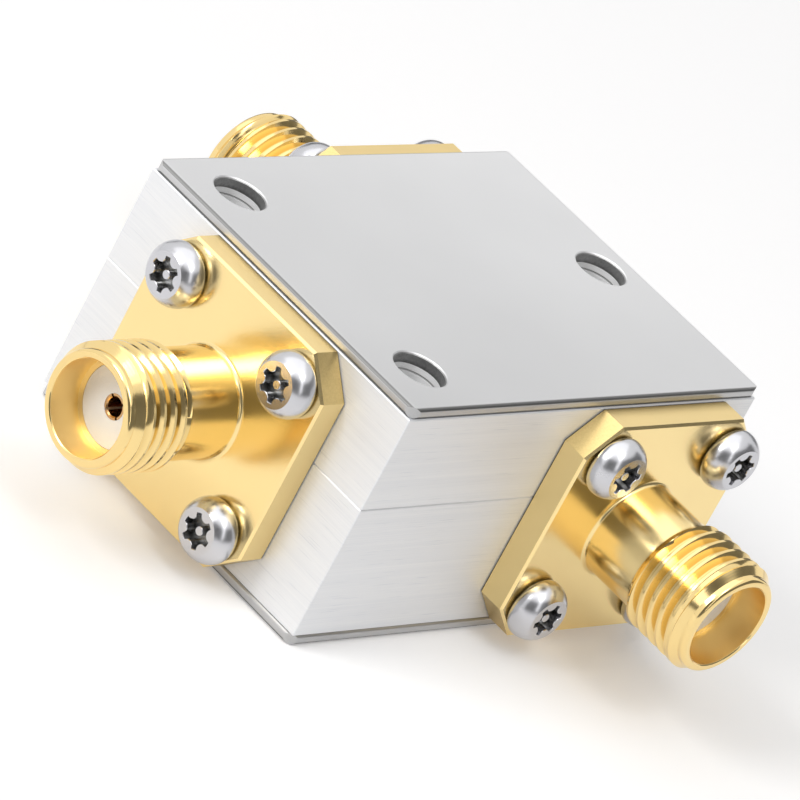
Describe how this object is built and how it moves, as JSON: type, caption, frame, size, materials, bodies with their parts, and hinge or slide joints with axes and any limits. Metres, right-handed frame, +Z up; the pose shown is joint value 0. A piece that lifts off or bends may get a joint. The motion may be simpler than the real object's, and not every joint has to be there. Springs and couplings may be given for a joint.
{
  "type": "rf circulator",
  "caption": "Coaxial RF circulator: a split aluminium block between thin steel plates, with gold-plated flanged threaded jacks on its sides and through mounting holes.",
  "frame": {"origin": "centre of the bottom plate's underside", "axes": "+Z up through the plates; -X out of the left port, -Y out of the front port, +Y out of the back port, +X out of the blank face"},
  "size_m": [0.035, 0.0386, 0.014],
  "materials": {
    "plate_steel": "satin rolled sheet",
    "body_aluminium": "fine level brushing",
    "magnet": "plain ground",
    "pole_steel": "plain turned",
    "ferrite": "ground",
    "dielectric": "fired, matt",
    "strip_metal": "bright sheet",
    "jack_gold": "gold plating over turned brass",
    "insulator_white": "turned white plastic",
    "contact_gold": "gold plating",
    "screw_steel": "bright formed steel"
  },
  "bodies": {
    "root": {"bottom_plate": "plate_steel", "lower_housing": "body_aluminium", "upper_housing": "body_aluminium", "top_plate": "plate_steel", "lower_magnet": "magnet", "upper_magnet": "magnet", "lower_pole_disc": "pole_steel", "upper_pole_disc": "pole_steel", "lower_ferrite_disc": "ferrite", "upper_ferrite_disc": "ferrite", "lower_spacer_ring": "dielectric", "upper_spacer_ring": "dielectric", "centre_strip": "strip_metal", "left_jack_body": "jack_gold", "front_jack_body": "jack_gold", "back_jack_body": "jack_gold", "left_insulator": "insulator_white", "front_insulator": "insulator_white", "back_insulator": "insulator_white", "left_contact": "contact_gold", "front_contact": "contact_gold", "back_contact": "contact_gold", "left_flange_screws": "screw_steel", "front_flange_screws": "screw_steel", "back_flange_screws": "screw_steel"}
  },
  "joints": []
}
